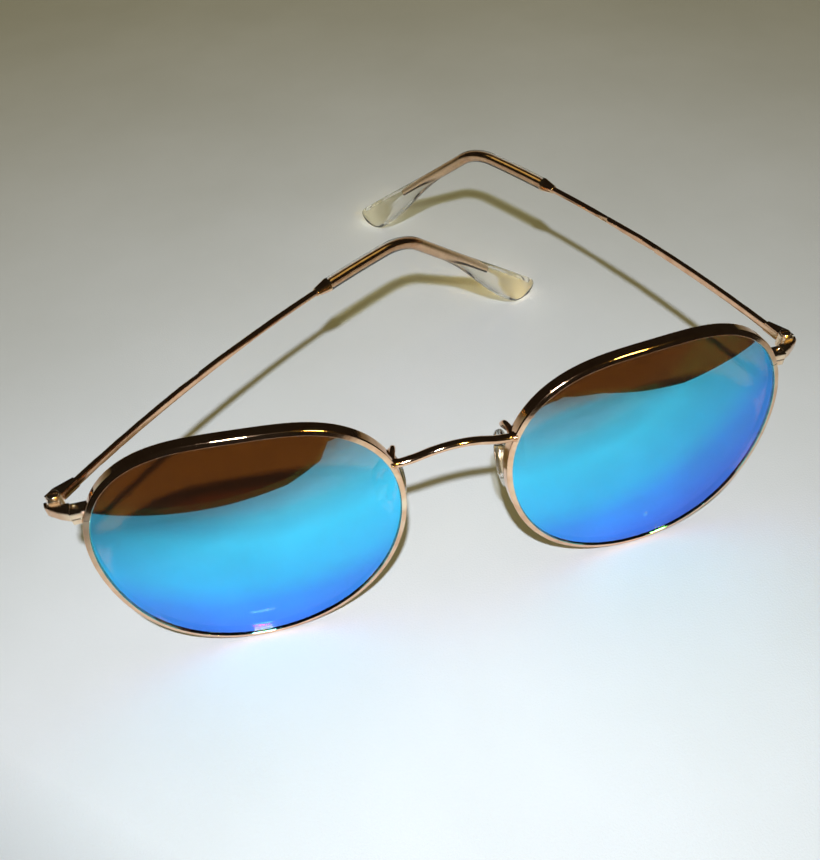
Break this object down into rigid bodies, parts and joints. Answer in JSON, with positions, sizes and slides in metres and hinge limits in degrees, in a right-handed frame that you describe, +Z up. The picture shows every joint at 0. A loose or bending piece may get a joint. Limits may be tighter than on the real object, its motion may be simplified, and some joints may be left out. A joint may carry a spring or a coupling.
{
  "type": "sunglasses",
  "caption": "Round wire-frame sunglasses with curved mirrored lenses, hinged temples with clear tips, and rocking nose pads, standing on the rims and the temple tips.",
  "frame": {"origin": "on the surface that the glasses stand on, in the plane of symmetry of the front, below the foremost points of the lenses", "axes": "+Z up; -Y the way that the lenses face; +X the wearer's left"},
  "size_m": [0.1305, 0.1308, 0.0492],
  "materials": {
    "frame_metal": "polished rose-gold plate",
    "hinge_metal": "satin rose-gold plate",
    "screw_metal": "polished, lightly gold plated",
    "mirror_lens": "brown tint with a blue mirror coating",
    "clear_plastic": "clear, faintly warm",
    "pad_silicone": "clear, soft",
    "pad_insert": "plain"
  },
  "bodies": {
    "front": {"bridge": "frame_metal", "left_eyewire": "frame_metal", "left_lens": "mirror_lens", "left_closing_block_upper": "frame_metal", "left_closing_block_lower": "frame_metal", "left_rim_lock_screw": "screw_metal", "left_end_piece": "frame_metal", "left_hinge_front": "hinge_metal", "left_hinge_screw": "screw_metal", "left_pad_arm": "frame_metal", "left_pad_box": "hinge_metal", "left_pad_screw": "screw_metal", "right_eyewire": "frame_metal", "right_lens": "mirror_lens", "right_closing_block_upper": "frame_metal", "right_closing_block_lower": "frame_metal", "right_rim_lock_screw": "screw_metal", "right_end_piece": "frame_metal", "right_hinge_front": "hinge_metal", "right_hinge_screw": "screw_metal", "right_pad_arm": "frame_metal", "right_pad_box": "hinge_metal", "right_pad_screw": "screw_metal"},
    "left_temple": {"left_hinge_rear": "hinge_metal", "left_temple_wire": "frame_metal", "left_ferrule": "frame_metal", "left_temple_tip": "clear_plastic"},
    "left_pad": {"left_nose_pad": "pad_silicone", "left_pad_core": "pad_insert"},
    "right_temple": {"right_hinge_rear": "hinge_metal", "right_temple_wire": "frame_metal", "right_ferrule": "frame_metal", "right_temple_tip": "clear_plastic"},
    "right_pad": {"right_nose_pad": "pad_silicone", "right_pad_core": "pad_insert"}
  },
  "joints": [
    {"name": "right_temple_hinge", "type": "hinge", "parent": "front", "child": "right_temple", "pos_m": [-0.06358, 0.01348, 0.0379], "axis": [0, 0, -1], "range_deg": [-44.6, 33.4]},
    {"name": "left_temple_hinge", "type": "hinge", "parent": "front", "child": "left_temple", "pos_m": [0.06358, 0.01348, 0.0379], "axis": [0, 0, 1], "range_deg": [-12.6, 24]},
    {"name": "left_pad_rock", "type": "hinge", "parent": "front", "child": "left_pad", "pos_m": [0.01276, 0.01063, 0.02593], "axis": [0.342, 0.9354, -0.0892], "range_deg": [-10, 10]},
    {"name": "right_pad_rock", "type": "hinge", "parent": "front", "child": "right_pad", "pos_m": [-0.01276, 0.01063, 0.02593], "axis": [0.342, -0.9354, 0.0892], "range_deg": [-10, 10]}
  ]
}
